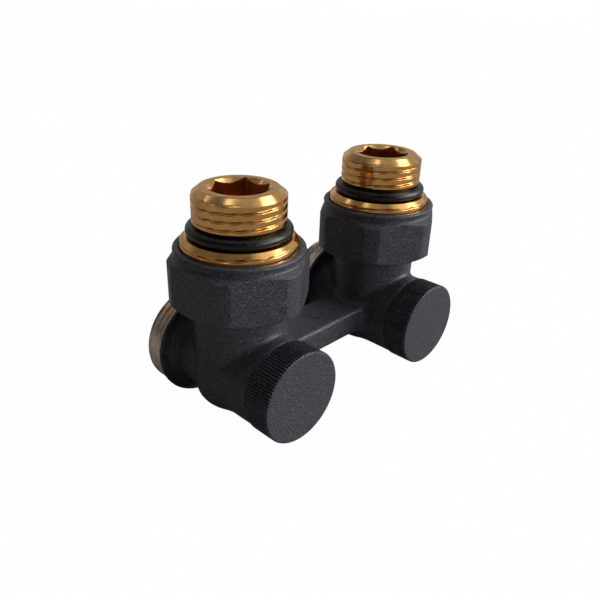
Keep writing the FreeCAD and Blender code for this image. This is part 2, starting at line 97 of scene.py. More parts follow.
class NodeBoard:
    """Adds nodes to one tree and wires them."""

    def __init__(self, tree: bpy.types.NodeTree) -> None:
        """Keep the tree that the nodes go into."""
        self.tree = tree

    def feed(self, socket: bpy.types.NodeSocket, value: object) -> None:
        """Link a socket to another, or set its value.

        Args:
            socket: the input to fill.
            value: an output socket, or a plain value.
        """
        if isinstance(value, bpy.types.NodeSocket):
            self.tree.links.new(value, socket)
        else:
            socket.default_value = value

    def add(self, kind: str, settings: dict | None = None, **inputs: object) -> bpy.types.Node:
        """Add one node.

        Args:
            kind: the node's type.
            settings: properties of the node itself.
            inputs: values by input name, with underscores for spaces.

        Returns:
            The new node.
        """
        node = self.tree.nodes.new(kind)
        for name, value in (settings or {}).items():
            setattr(node, name, value)
        for name, value in inputs.items():
            self.feed(node.inputs[name.replace("_", " ")], value)
        return node

    def math(self, operation: str, *values: object) -> bpy.types.NodeSocket:
        """Add a Math node.

        Args:
            operation: the node's operation.
            values: its operands, plain or linked.

        Returns:
            The result socket.
        """
        node = self.add("ShaderNodeMath", {"operation": operation})
        for socket, value in zip(node.inputs, values):
            self.feed(socket, value)
        return node.outputs[0]

    def ramp(self, value: object, span: Sequence[object], start: float = 0.0, end: float = 1.0,
             shape: str = "SMOOTHSTEP") -> bpy.types.NodeSocket:
        """Map a value from one range to another.

        Args:
            value: what is mapped.
            span: the values that give start and end.
            start: result at the first of them.
            end: result at the second.
            shape: interpolation of the Map Range node.

        Returns:
            The mapped value.
        """
        node = self.add("ShaderNodeMapRange", {"interpolation_type": shape})
        for socket, part in zip(node.inputs, (value, *span, start, end)):
            self.feed(socket, part)
        return node.outputs["Result"]

    def noise(self, place: bpy.types.NodeSocket, scale: float, detail: float,
              roughness: float = 0.5) -> bpy.types.NodeSocket:
        """Add a noise texture.

        Args:
            place: coordinates.
            scale: grains per unit of the coordinates.
            detail: number of finer layers.
            roughness: strength of the finer layers.

        Returns:
            The noise value.
        """
        return self.add("ShaderNodeTexNoise", Vector=place, Scale=scale, Detail=detail,
                        Roughness=roughness).outputs[0]

    def blend(self, share: object, low: object, high: object) -> bpy.types.NodeSocket:
        """Mix two colours.

        Args:
            share: how much of the second colour.
            low: first colour.
            high: second colour.

        Returns:
            The mixed colour.
        """
        node = self.add("ShaderNodeMix", {"data_type": "RGBA"})
        for index, part in ((0, share), (6, low), (7, high)):
            self.feed(node.inputs[index], part)
        return node.outputs[2]

    def bump(self, height: bpy.types.NodeSocket, reach: float,
             strength: float = 1.0) -> bpy.types.NodeSocket:
        """Turn a height into a surface direction.

        Args:
            height: the height value.
            reach: real height in millimetres for a value of 1.
            strength: strength of the effect.

        Returns:
            The direction.
        """
        return self.add("ShaderNodeBump", Height=height, Distance=reach * MM,
                        Strength=strength).outputs[0]


class SurfaceTree:
    """A Geometry Nodes tree that reshapes the marked part of a turned surface."""

    def __init__(self, name: str, sizes: Sequence[str]) -> None:
        """Open the tree and declare its inputs.

        Args:
            name: name of the tree.
            sizes: names of its number inputs.
        """
        self.tree = bpy.data.node_groups.new(name, "GeometryNodeTree")
        self.board = board = NodeBoard(self.tree)
        socket = self.tree.interface.new_socket
        socket(name="Geometry", in_out="INPUT", socket_type="NodeSocketGeometry")
        for size in sizes:
            socket(name=size, in_out="INPUT", socket_type="NodeSocketFloat")
        socket(name="Material", in_out="INPUT", socket_type="NodeSocketMaterial")
        socket(name="Geometry", in_out="OUTPUT", socket_type="NodeSocketGeometry")
        self.given = board.add("NodeGroupInput").outputs
        position = board.add("GeometryNodeInputPosition").outputs[0]
        self.x, self.y, self.z = board.add("ShaderNodeSeparateXYZ", Vector=position).outputs
        self.radius = board.math("SQRT", board.math(
            "ADD", board.math("MULTIPLY", self.x, self.x), board.math("MULTIPLY", self.y, self.y)))
        self.angle = board.math("ARCTAN2", self.y, self.x)
        self.mark = board.add("GeometryNodeInputNamedAttribute", {"data_type": "FLOAT"},
                              Name="cut").outputs["Attribute"]

    def groove_depth(self, phase: bpy.types.NodeSocket, crest: float) -> bpy.types.NodeSocket:
        """Depth of a groove that repeats once per unit of phase and fades out at its start.

        Args:
            phase: place within one repeat, from 0 to 1, with the crest in the middle.
            crest: share of a repeat that stays uncut.

        Returns:
            The depth.
        """
        board, given = self.board, self.given
        from_crest = board.math("MULTIPLY", board.math(
            "ABSOLUTE", board.math("SUBTRACT", phase, 0.5)), 2.0)
        cut = board.ramp(from_crest, (crest, 1.0))
        stop = board.math("ADD", given["Start"], given["Run In"])
        run = board.ramp(self.z, (given["Start"], stop), shape="LINEAR")
        return board.math("MULTIPLY", board.math("MULTIPLY", given["Depth"], cut), run)

    def close(self, new_radius: bpy.types.NodeSocket) -> None:
        """Move every point to its new radius and finish the tree.

        Args:
            new_radius: distance from the Z axis for each point.
        """
        board = self.board
        scale = board.math("DIVIDE", new_radius, self.radius)
        spot = board.add("ShaderNodeCombineXYZ", X=board.math("MULTIPLY", self.x, scale),
                         Y=board.math("MULTIPLY", self.y, scale), Z=self.z)
        moved = board.add("GeometryNodeSetPosition", Geometry=self.given["Geometry"],
                          Position=spot.outputs[0])
        real = board.add("GeometryNodeRealizeInstances", Geometry=moved.outputs[0])
        dressed = board.add("GeometryNodeSetMaterial", Geometry=real.outputs[0],
                            Material=self.given["Material"])
        board.add("NodeGroupOutput", Geometry=dressed.outputs[0])

    def apply(self, piece: bpy.types.Object, material: bpy.types.Material,
              sizes: dict[str, float]) -> None:
        """Run the tree on a piece and keep the result as its plain mesh.

        Args:
            piece: the object to reshape.
            material: what the tree dresses it in.
            sizes: values of the number inputs by name.
        """
        modifier = piece.modifiers.new(self.tree.name, "NODES")
        modifier.node_group = self.tree
        wanted = {**sizes, "Material": material}
        for item in self.tree.interface.items_tree:
            if item.in_out == "INPUT" and item.name in wanted:
                modifier[item.identifier] = wanted[item.name]
        graph = bpy.context.evaluated_depsgraph_get()
        result = bpy.data.meshes.new_from_object(
            piece.evaluated_get(graph), preserve_all_data_layers=True, depsgraph=graph)
        piece.modifiers.clear()
        piece.data = result


class ThreadTree(SurfaceTree):
    """Cuts a right-hand screw thread into points marked 1, or its mate into points marked -1."""

    CREST = 0.60

    def __init__(self) -> None:
        """Build the tree."""
        super().__init__("screw_thread", ("Pitch", "Depth", "Crest Radius", "Clearance", "Turn",
                                          "Start", "Run In"))
        board, given = self.board, self.given
        turns = board.math("DIVIDE", board.math("ADD", self.angle, given["Turn"]), FULL_TURN)
        phase = board.math("FRACT", board.math(
            "SUBTRACT", board.math("DIVIDE", self.z, given["Pitch"]), turns))
        helix = board.math("SUBTRACT", given["Crest Radius"], self.groove_depth(phase, self.CREST))
        outside = board.math("MINIMUM", self.radius, helix)
        inside = board.math("MAXIMUM", self.radius, board.math("ADD", helix, given["Clearance"]))
        is_outside = board.math("GREATER_THAN", self.mark, 0.5)
        is_inside = board.math("LESS_THAN", self.mark, -0.5)
        plain = board.math("SUBTRACT", board.math("SUBTRACT", 1.0, is_outside), is_inside)
        parts = [board.math("MULTIPLY", part, weight) for part, weight in
                 ((outside, is_outside), (inside, is_inside), (self.radius, plain))]
        self.close(board.math("ADD", board.math("ADD", parts[0], parts[1]), parts[2]))


class RibTree(SurfaceTree):
    """Presses straight grooves into points marked 1, evenly spaced round the axis."""

    CREST = 0.2

    def __init__(self) -> None:
        """Build the tree."""
        super().__init__("straight_knurl", ("Rib Count", "Depth", "Crest Radius", "Start", "Run In"))
        board, given = self.board, self.given
        turns = board.math("DIVIDE", self.angle, FULL_TURN)
        phase = board.math("FRACT", board.math("MULTIPLY", turns, given["Rib Count"]))
        ribbed = board.math("MINIMUM", self.radius, board.math(
            "SUBTRACT", given["Crest Radius"], self.groove_depth(phase, self.CREST)))
        kept = board.math("MULTIPLY", self.radius, board.math("SUBTRACT", 1.0, self.mark))
        self.close(board.math("ADD", board.math("MULTIPLY", ribbed, self.mark), kept))


# Finishes


class Finish:
    """A finish that makes its own material."""

    name = "finish"

    def open(self) -> tuple[bpy.types.Material, NodeBoard, dict]:
        """Start the material.

        Returns:
            The material, the board for its nodes and the inputs of its shader.
        """
        material = bpy.data.materials.new(self.name)
        material.use_nodes = True
        material.node_tree.nodes.clear()
        board = NodeBoard(material.node_tree)
        shader = board.add("ShaderNodeBsdfPrincipled")
        board.add("ShaderNodeOutputMaterial", Surface=shader.outputs[0])
        return material, board, shader.inputs

    @staticmethod
    def millimetres(board: NodeBoard, upright: float = 1.0) -> bpy.types.NodeSocket:
        """Give the object's coordinates in millimetres.

        Args:
            board: where the nodes go.
            upright: stretch along the Z axis.

        Returns:
            The coordinate socket.
        """
        spot = board.add("ShaderNodeTexCoord").outputs["Object"]
        size = (1.0 / MM, 1.0 / MM, upright / MM)
        return board.add("ShaderNodeMapping", Vector=spot, Scale=size).outputs[0]


@dataclass(frozen=True)
class PowderCoat(Finish):
    """Fine-textured black powder paint; a few grains are painted pale to stand for glints."""

    name: str = "textured_black_paint"
    dark: Colour = (0.020, 0.0192, 0.0258, 1.0)
    pale: Colour = (0.108, 0.105, 0.126, 1.0)
    # Painted glint: pale colour standing for light glinting off a few grains.
    painted_glint: Colour = (0.36, 0.36, 0.39, 1.0)
    grains_per_mm: float = 3.1
    patches_per_mm: float = 0.22
    glint_grains: Range = (0.84, 0.99)
    glint_core: Range = (0.45, 0.10)
    cloud_span: Range = (0.36, 0.70)
    grain_bump: float = -0.6
    cloud_bump: float = 1.2
    roughness: Range = (0.29, 0.40)
    specular: float = 0.4
    grain_height: float = 0.05

    def build(self) -> bpy.types.Material:
        """Make the material.

        Returns:
            The finished material.
        """
        material, board, shader = self.open()
        spot = self.millimetres(board)
        grain = board.add("ShaderNodeTexVoronoi", Vector=spot, Scale=self.grains_per_mm)
        cloud = board.noise(spot, self.grains_per_mm, 3.0, 0.65)
        pick = board.add("ShaderNodeSeparateColor", Color=grain.outputs["Color"]).outputs[0]
        skin = board.blend(board.ramp(cloud, self.cloud_span), self.dark, self.pale)
        # Painted glints: a few randomly picked grains get a pale colour in their cores, standing for light
        # glinting off them.
        painted_glint_share = board.math("MULTIPLY", board.ramp(pick, self.glint_grains),
                         board.ramp(grain.outputs["Distance"], self.glint_core))
        board.feed(shader["Base Color"], board.blend(painted_glint_share, skin, self.painted_glint))
        broad = board.noise(spot, self.patches_per_mm, 2.0)
        board.feed(shader["Roughness"], board.ramp(broad, (0.3, 0.7), *self.roughness))
        height = board.math("ADD", board.math("MULTIPLY", grain.outputs["Distance"], self.grain_bump),
                            board.math("MULTIPLY", cloud, self.cloud_bump))
        board.feed(shader["Normal"], board.bump(height, self.grain_height))
        shader["Specular IOR Level"].default_value = self.specular
        return material


@dataclass(frozen=True)
class Brass(Finish):
    """Brass as the lathe leaves it, with fine turning marks round the axis."""

    name: str = "turned_brass"
    bright: Colour = (0.93, 0.545, 0.205, 1.0)
    deep: Colour = (0.83, 0.44, 0.135, 1.0)
    roughness: Range = (0.14, 0.22)
    face_roughness: float = 0.20
    face_span: Range = (43.9, 43.98)
    mark_height: float = 0.002
    streaks_per_mm: float = 5.0
    patches_per_mm: float = 0.35

    def build(self) -> bpy.types.Material:
        """Make the material.

        Returns:
            The finished material.
        """
        material, board, shader = self.open()
        lathe = board.add("ShaderNodeAttribute", {"attribute_name": "lathe"}).outputs["Vector"]
        marks = board.noise(lathe, self.streaks_per_mm, 3.0)
        tint = board.noise(self.millimetres(board), self.patches_per_mm, 3.0)
        board.feed(shader["Base Color"], board.blend(board.ramp(tint, (0.35, 0.7)), self.bright, self.deep))
        shader["Metallic"].default_value = 1.0
        height = board.add("ShaderNodeSeparateXYZ", Vector=lathe).outputs["Y"]
        satin = board.ramp(height, self.face_span, 0.0, self.face_roughness)
        board.feed(shader["Roughness"], board.math(
            "ADD", board.ramp(marks, (0.3, 0.7), *self.roughness), satin))
        board.feed(shader["Normal"], board.bump(marks, self.mark_height))
        return material


@dataclass(frozen=True)
class Rubber(Finish):
    """Moulded black rubber with a faint dusty bloom."""

    name: str = "black_rubber"
    dark: Colour = (0.003, 0.003, 0.004, 1.0)
    bloom: Colour = (0.011, 0.0112, 0.014, 1.0)
    roughness: Range = (0.25, 0.40)
    patches_per_mm: float = 1.3
    pores_per_mm: float = 9.0

    def build(self) -> bpy.types.Material:
        """Make the material.

        Returns:
            The finished material.
        """
        material, board, shader = self.open()
        spot = self.millimetres(board)
        dust = board.noise(spot, self.patches_per_mm, 5.0)
        board.feed(shader["Base Color"], board.blend(board.ramp(dust, (0.4, 0.75)), self.dark, self.bloom))
        board.feed(shader["Roughness"], board.ramp(dust, (0.3, 0.7), *self.roughness))
        board.feed(shader["Normal"], board.bump(board.noise(spot, self.pores_per_mm, 2.0), 0.01, 0.6))
        return material


@dataclass(frozen=True)
class Fibre(Finish):
    """Pressed fibre sheet for flat seals."""

    name: str = "fibre_seal"
    dark: Colour = (0.10, 0.035, 0.02, 1.0)
    pale: Colour = (0.20, 0.08, 0.045, 1.0)
    roughness: float = 0.85
    fibres_per_mm: float = 4.0

    def build(self) -> bpy.types.Material:
        """Make the material.

        Returns:
            The finished material.
        """
        material, board, shader = self.open()
        weave = board.noise(self.millimetres(board, upright=4.0), self.fibres_per_mm, 6.0, 0.7)
        board.feed(shader["Base Color"], board.blend(board.ramp(weave, (0.35, 0.65)), self.dark, self.pale))
        shader["Roughness"].default_value = self.roughness
        board.feed(shader["Normal"], board.bump(weave, 0.03, 0.8))
        return material


@dataclass(frozen=True)
class SpringSteel(Finish):
    """Drawn spring steel for the wire ring and the circlip."""

    name: str = "spring_steel_wire"
    bright: Colour = (0.42, 0.42, 0.44, 1.0)
    dull: Colour = (0.28, 0.27, 0.27, 1.0)
    roughness: Range = (0.28, 0.42)
    patches_per_mm: float = 2.5

    def build(self) -> bpy.types.Material:
        """Make the material.

        Returns:
            The finished material.
        """
        material, board, shader = self.open()
        draw = board.noise(self.millimetres(board), self.patches_per_mm, 5.0)
        board.feed(shader["Base Color"], board.blend(board.ramp(draw, (0.35, 0.7)), self.bright, self.dull))
        shader["Metallic"].default_value = 1.0
        board.feed(shader["Roughness"], board.ramp(draw, (0.3, 0.7), *self.roughness))
        board.feed(shader["Normal"], board.bump(draw, 0.01, 0.5))
        return material


@dataclass
class Palette:
    """The materials and trees that the pieces share."""

    paint: bpy.types.Material
    brass: bpy.types.Material
    pipe_brass: bpy.types.Material
    rubber: bpy.types.Material
    fibre: bpy.types.Material
    steel: bpy.types.Material
    thread: ThreadTree
    ribs: RibTree

    @classmethod
    def mixed(cls) -> "Palette":
        """Build every material and tree once.

        Returns:
            The palette.
        """
        pipe_brass = Brass(name="weathered_brass", bright=(0.92, 0.80, 0.66, 1.0),
                           deep=(0.72, 0.47, 0.26, 1.0), roughness=(0.39, 0.47),
                           mark_height=0.014, streaks_per_mm=2.6)
        return cls(PowderCoat().build(), Brass().build(), pipe_brass.build(), Rubber().build(),
                   Fibre().build(), SpringSteel().build(), ThreadTree(), RibTree())


# Surfaces


def even_angles(count: int) -> np.ndarray:
    """Angles in radians, spaced evenly round the axis from zero."""
    return np.arange(count) * FULL_TURN / count


def soft_polygon(angle: np.ndarray, sides: int, flat_radius: float, sharpness: float) -> np.ndarray:
    """Outline of a regular polygon with a corner on the X axis.

    Args:
        angle: where the outline is wanted.
        sides: number of flats.
        flat_radius: distance of a flat from the axis.
        sharpness: the higher, the tighter the rounded corners.

    Returns:
        Distance of the outline from the axis at each angle.
    """
    total = np.zeros_like(angle)
    for flat in range(sides):
        reach = np.cos(angle - (flat + 0.5) * FULL_TURN / sides)
        total += np.maximum(reach, 0.0) ** sharpness
    return flat_radius / total ** (1.0 / sharpness)


def soft_min(a: np.ndarray, b: np.ndarray, width: np.ndarray | float) -> np.ndarray:
    """Smaller of two values, with a rounded change from one to the other.

    Args:
        a: first values.
        b: second values.
        width: how far apart they may be and still blend.

    Returns:
        The blended values.
    """
    near = np.maximum(width - np.abs(a - b), 0.0) / np.maximum(width, 1e-6)
    return np.minimum(a, b) - near * near * width * 0.25


def soft_max(a: np.ndarray, b: np.ndarray, width: np.ndarray | float) -> np.ndarray:
    """Larger of two values, rounded in the same way as soft_min."""
    return -soft_min(-a, -b, width)


def face_outward(mesh: bpy.types.Mesh) -> None:
    """Turn all the faces of a closed mesh outward.

    Args:
        mesh: the mesh to change.
    """
    shell = bmesh.new()
    shell.from_mesh(mesh)
    bmesh.ops.recalc_face_normals(shell, faces=shell.faces)
    shell.to_mesh(mesh)
    shell.free()


class Turning:
    """Rings of points about the Z axis, joined into one closed surface."""

    ANGLE_WEIGHT = 0.15

    def __init__(self, angles: np.ndarray) -> None:
        """Start with no rings.

        Args:
            angles: directions of the points of every ring.
        """
        self.angles = angles
        self.rings: list[np.ndarray] = []
        self.marks: list[float] = []
        self.pen = (0.0, 0.0)

    def ring(self, radius: np.ndarray | float, height: float, mark: float = 0.0) -> None:
        """Add one ring and put the pen on it.

        Args:
            radius: distance from the axis, one or one per angle.
            height: its place along the axis.
            mark: CUT, MATE, or 0 to leave it as it is.
        """
        reach = np.broadcast_to(radius, self.angles.shape)
        self.rings.append(np.stack([reach * np.cos(self.angles), reach * np.sin(self.angles),
                                    np.full(self.angles.shape, height)], axis=1))
        self.marks.append(mark)
        self.pen = (float(reach[0]), height)

    def trace(self, *stops: tuple[float, ...]) -> None:
        """Add rings along straight lines of the profile, from the pen on.

        Args:
            stops: for each line the radius and height of its end, the largest distance
                between rings, and their mark if it isn't 0.
        """
        for radius, height, step, *mark in stops:
            begin = self.pen
            count = max(1, math.ceil(math.dist(begin, (radius, height)) / step))
            for index in range(1, count + 1):
                part = index / count
                self.ring(begin[0] + (radius - begin[0]) * part,
                          begin[1] + (height - begin[1]) * part, *mark)
            self.pen = (radius, height)

    def corner(self, centre: Range, radius: float, start: float, end: float, count: int) -> None:
        """Add rings along an arc of the profile.

        Args:
            centre: radius and height of the arc's centre.
            radius: the arc's own radius.
            start: angle of its first point in degrees, from the outward direction.
            end: angle of its last point.
            count: number of rings.
        """
        for turn in np.radians(np.linspace(start, end, count)):
            self.ring(centre[0] + radius * math.cos(turn), centre[1] + radius * math.sin(turn))

    def make(self, name: str, closed: bool = True) -> bpy.types.Object:
        """Join the rings.

        Args:
            name: name of the piece.
            closed: whether the last ring joins the first; if not, both ends get a flat face.

        Returns:
            The piece, drawn about the Z axis in millimetres.
        """
        around = len(self.angles)
        count = len(self.rings)
        points = np.concatenate(self.rings)
        faces = []
        for row in range(count if closed else count - 1):
            low = row * around
            high = (row + 1) % count * around
            for column in range(around):
                after = (column + 1) % around
                faces.append((low + column, low + after, high + after, high + column))
        if not closed:
            faces.append(tuple(range(around)))
            faces.append(tuple(range((count - 1) * around, count * around)))
        mesh = bpy.data.meshes.new(name)
        mesh.from_pydata(points.tolist(), [], faces)
        face_outward(mesh)
        mark = mesh.attributes.new("cut", "FLOAT", "POINT")
        mark.data.foreach_set("value", np.repeat(np.array(self.marks), around))
        lathe = mesh.attributes.new("lathe", "FLOAT_VECTOR", "POINT")
        turn = np.arctan2(points[:, 1], points[:, 0]) * self.ANGLE_WEIGHT
        across = np.stack([np.hypot(points[:, 0], points[:, 1]), points[:, 2], turn], axis=1)
        lathe.data.foreach_set("vector", across.ravel())
        piece = bpy.data.objects.new(name, mesh)
        bpy.context.scene.collection.objects.link(piece)
        return piece


def place(piece: bpy.types.Object, side: Side, facing: Facing = Facing.UP, turn: float = 0.0) -> None:
    """Move a piece's mesh to its leg and into metres.

    Args:
        piece: a piece drawn about the Z axis in millimetres.
        side: the leg that it belongs to.
        facing: where its axis points.
        turn: angle about its own axis in degrees.
    """
    spin = Matrix.Rotation(math.radians(turn), 4, "Z")
    shift = Matrix.Translation(Vector((side.x, 0.0, AXIS_HEIGHT)))
    piece.data.transform(Matrix.Scale(MM, 4) @ shift @ facing.value @ spin)


def finish_piece(piece: bpy.types.Object, body: str, nodes: Sequence[str],
                 sharp: float = 30.0) -> None:
    """Shade a placed piece, tie it to its body and report it.

    Args:
        piece: the piece.
        body: the body that it rides on.
        nodes: the solids that it stands for.
        sharp: edges steeper than this angle in degrees stay sharp.
    """
    mesh = piece.data
    mesh.polygons.foreach_set("use_smooth", [True] * len(mesh.polygons))
    mesh.set_sharp_from_angle(angle=math.radians(sharp))
    mesh.update()
    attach(piece, body)
    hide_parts(*nodes)
    log.info("%s rides on %s: %d faces", piece.name, body, len(mesh.polygons))


# Sub-assemblies


@dataclass
class Casting:
    """The one casting: two barrels, two necks, the bridge and the pipe shoulders."""

    palette: Palette
    cast_radius: float = 11.1
    barrel_front: float = -13.9
    barrel_back: float = 3.0
    barrel_edge: float = 0.4
    tail_radius: float = 10.2
    tail_edge: float = 0.1
    shoulder_radius: float = 13.7
    shoulder_front: float = 13.7
    shoulder_back: float = 14.6
    shoulder_edge: float = 0.25
    neck_foot: float = -8.3
    neck_top: float = 22.8
    neck_edge: float = 0.5
    foot_radius: float = 9.1
    draft_radius: float = 10.5
    draft_height: float = -6.9
    draft_slope: Range = (2.0, 0.6)
    bridge_half_depth: float = 6.3
    bridge_half_height: float = 3.45
    bridge_edge: float = 1.1
    bridge_end_inset: float = 2.0
    foot_blend: float = 0.6
    tail_blend: float = 0.5
    shoulder_blend: float = 2.6
    neck_blend: float = 1.5
    bridge_blend: float = 2.6
    nick_ends: tuple[Range, Range] = ((-1.6, 2.2), (0.4, -1.8))
    nick_lift: float = 0.1
    nick_radius: float = 0.5
    nick_blend: float = 0.3
    barrel_bores: tuple[tuple[float, float, float], ...] = (
        (7.2, -30.0, 4.0), (4.9, 0.0, 12.0), (8.3, 8.6, 30.0))
    neck_bore: tuple[float, float, float] = (7.5, 0.0, 40.0)
    bore_edge: float = 0.2
    paint_reach: float = 0.9
    box: tuple[tuple[float, ...], tuple[float, ...]] = ((-40.2, -15.0, -14.9), (40.2, 15.8, 24.0))
    cell: float = 0.36
    slope_step: float = 0.02
    least_slope: float = 0.25
    relax_rounds: int = 3

    @staticmethod
    def rod(across: np.ndarray, along: np.ndarray, radius: float, low: float, high: float,
            rounding: float) -> np.ndarray:
        """Distance to a round rod with rounded ends.

        Args:
            across: distance of each point from the rod's axis.
            along: its place along the axis.
            radius: the rod's radius.
            low: where the rod starts.
            high: where it ends.
            rounding: radius of its end edges.

        Returns:
            Signed distances, negative inside.
        """
        side = across - radius + rounding
        end = np.abs(along - (low + high) / 2) - (high - low) / 2 + rounding
        outside = np.hypot(np.maximum(side, 0.0), np.maximum(end, 0.0))
        return outside + np.minimum(np.maximum(side, end), 0.0) - rounding

    def neck(self, from_neck: np.ndarray, z: np.ndarray) -> np.ndarray:
        """Distance to a neck with its coned foot.

        Args:
            from_neck: distance of each point from the neck's axis.
            z: its height above the barrel's axis.

        Returns:
            Signed distances, negative inside.
        """
        shaft = self.rod(from_neck, z, self.cast_radius, self.neck_foot, self.neck_top, self.neck_edge)
        lower = (from_neck - self.foot_radius - (z - self.neck_foot)) / math.sqrt(2.0)
        run, rise = self.draft_slope
        upper = (from_neck - self.draft_radius) * run - (z - self.draft_height) * rise
        cone = soft_max(lower, upper / math.hypot(run, rise), self.foot_blend)
        return soft_max(shaft, cone, self.foot_blend)

    def bridge(self, points: np.ndarray) -> np.ndarray:
        """Distance to the bridge bar with its rounded edges.

        Args:
            points: places in millimetres from the middle of the block.

        Returns:
            Signed distances, negative inside.
        """
        half = np.array([LEG_OFFSET - self.bridge_end_inset, self.bridge_half_depth - self.bridge_edge,
                         self.bridge_half_height - self.bridge_edge])
        over = np.abs(points) - half
        outside = np.linalg.norm(np.maximum(over, 0.0), axis=-1)
        return outside + np.minimum(over.max(axis=-1), 0.0) - self.bridge_edge

    def nick(self, points: np.ndarray) -> np.ndarray:
        """Distance to the short mark that the mould left on top of the bridge.

        Args:
            points: places in millimetres from the middle of the block.

        Returns:
            Signed distances, negative inside.
        """
        height = self.bridge_half_height + self.nick_lift
        start, stop = (np.array([*spot, height]) for spot in self.nick_ends)
        along = stop - start
        part = np.clip(((points - start) @ along) / (along @ along), 0.0, 1.0)
        return np.linalg.norm(points - start - part[..., None] * along, axis=-1) - self.nick_radius

    @staticmethod
    def from_axes(points: np.ndarray) -> tuple[np.ndarray, ...]:
        """Place of points about the axes of the nearer leg.

        Args:
            points: places in millimetres from the middle of the block.

        Returns:
            The place across, the distance from the barrel's axis and from the neck's axis.
        """
        x = np.abs(points[..., 0]) - LEG_OFFSET
        return x, np.hypot(x, points[..., 2]), np.hypot(x, points[..., 1])

    def skin(self, points: np.ndarray) -> np.ndarray:
        """Distance to the outside of the casting, with its bores filled.

        Args:
            points: places in millimetres from the middle of the block.

        Returns:
            Signed distances, negative inside.
        """
        x, from_barrel, from_neck = self.from_axes(points)
        y, z = points[..., 1], points[..., 2]
        barrel = self.rod(from_barrel, y, self.cast_radius, self.barrel_front, self.barrel_back,
                          self.barrel_edge)
        tail = self.rod(from_barrel, y, self.tail_radius, 0.0, self.shoulder_back, self.tail_edge)
        shoulder = self.rod(from_barrel, y, self.shoulder_radius, self.shoulder_front,
                            self.shoulder_back, self.shoulder_edge)
        turned = soft_min(soft_min(barrel, tail, self.tail_blend), shoulder, self.shoulder_blend)
        facing = np.clip(1.0 - x * x / np.maximum(from_barrel * from_neck, 1e-3), 0.0, 1.0)
        leg = soft_min(turned, self.neck(from_neck, z), self.neck_blend * facing)
        body = soft_min(leg, self.bridge(points), self.bridge_blend)
        return soft_max(body, -self.nick(points), self.nick_blend)

    def distance(self, points: np.ndarray) -> np.ndarray:
        """Distance to the casting with its bores.

        Args:
            points: places in millimetres from the middle of the block.

        Returns:
            Signed distances, negative inside.
        """
        _, from_barrel, from_neck = self.from_axes(points)
        bores = [self.rod(from_barrel, points[..., 1], *bore, self.bore_edge) for bore in self.barrel_bores]
        bores.append(self.rod(from_neck, points[..., 2], *self.neck_bore, self.bore_edge))
        return np.maximum(self.skin(points), -np.minimum.reduce(bores))

    def settle(self, points: np.ndarray, rounds: int) -> np.ndarray:
        """Move points on to the surface along its slope.

        Args:
            points: places near the surface.
            rounds: how often to step.

        Returns:
            The moved points.
        """
        steps = np.eye(3) * self.slope_step
        for _ in range(rounds):
            rises = [self.distance(points + step) - self.distance(points - step) for step in steps]
            slope = np.stack(rises, axis=-1) / (2 * self.slope_step)
            steep = np.maximum((slope * slope).sum(-1, keepdims=True), self.least_slope)
            points = points - self.distance(points)[..., None] * slope / steep
        return points

    def relax(self, points: np.ndarray, faces: np.ndarray) -> np.ndarray:
        """Even out the points over the surface.

        Args:
            points: points on the surface.
            faces: the four points of each face.

        Returns:
            The moved points.
        """
        pairs = np.concatenate([faces, np.roll(faces, -1, axis=1)]).reshape(2, -1).T
        edges = np.unique(np.sort(pairs, axis=1), axis=0)
        for _ in range(self.relax_rounds):
            total = np.zeros_like(points)
            count = np.zeros(len(points))
            for a, b in (edges.T, edges.T[::-1]):
                np.add.at(total, a, points[b])
                np.add.at(count, a, 1.0)
            middle = total / np.maximum(count, 1.0)[:, None]
            points = self.settle((points + middle) * 0.5, 2)
        return points

    def mesh(self) -> bpy.types.Mesh:
        """Build the casting's surface.

        Returns:
            Its mesh in metres, with painted outside faces in slot 0 and machined bores in slot 1.
        """
        low, high = (np.array(corner) for corner in self.box)
        axes = [np.arange(a, b, self.cell) for a, b in zip(low, high)]
        field = self.distance(np.stack(np.meshgrid(*axes, indexing="ij"), axis=-1))
        grid = openvdb.FloatGrid(4.0)
        grid.copyFromArray(np.ascontiguousarray(field, dtype=np.float32))
        cells, faces = (np.asarray(part) for part in grid.convertToQuads(0.0))
        points = self.relax(self.settle(low + cells.astype(float) * self.cell, 3), faces)
        mesh = bpy.data.meshes.new("casting")
        raised = (points + np.array([0.0, 0.0, AXIS_HEIGHT])) * MM
        mesh.from_pydata(raised.tolist(), [], faces.tolist())
        face_outward(mesh)
        inner = self.skin(points[faces].mean(axis=1)) < -self.paint_reach
        mesh.polygons.foreach_set("material_index", inner.astype(np.int32))
        return mesh

    def build(self) -> None:
        """Make the piece."""
        piece = bpy.data.objects.new("casting", self.mesh())
        bpy.context.scene.collection.objects.link(piece)
        piece.data.materials.append(self.palette.paint)
        piece.data.materials.append(self.palette.brass)
        log.info("casting has %d points", len(piece.data.vertices))
        finish_piece(piece, "valve_block", ["valve_body"], sharp=50.0)


@dataclass
class LegPart:
    """A piece that each leg has once."""

    palette: Palette
    side: Side
    points: int = 180

    def name(self, part: str) -> str:
        """Name of a part on this leg."""
        return f"{self.side.value}_{part}"


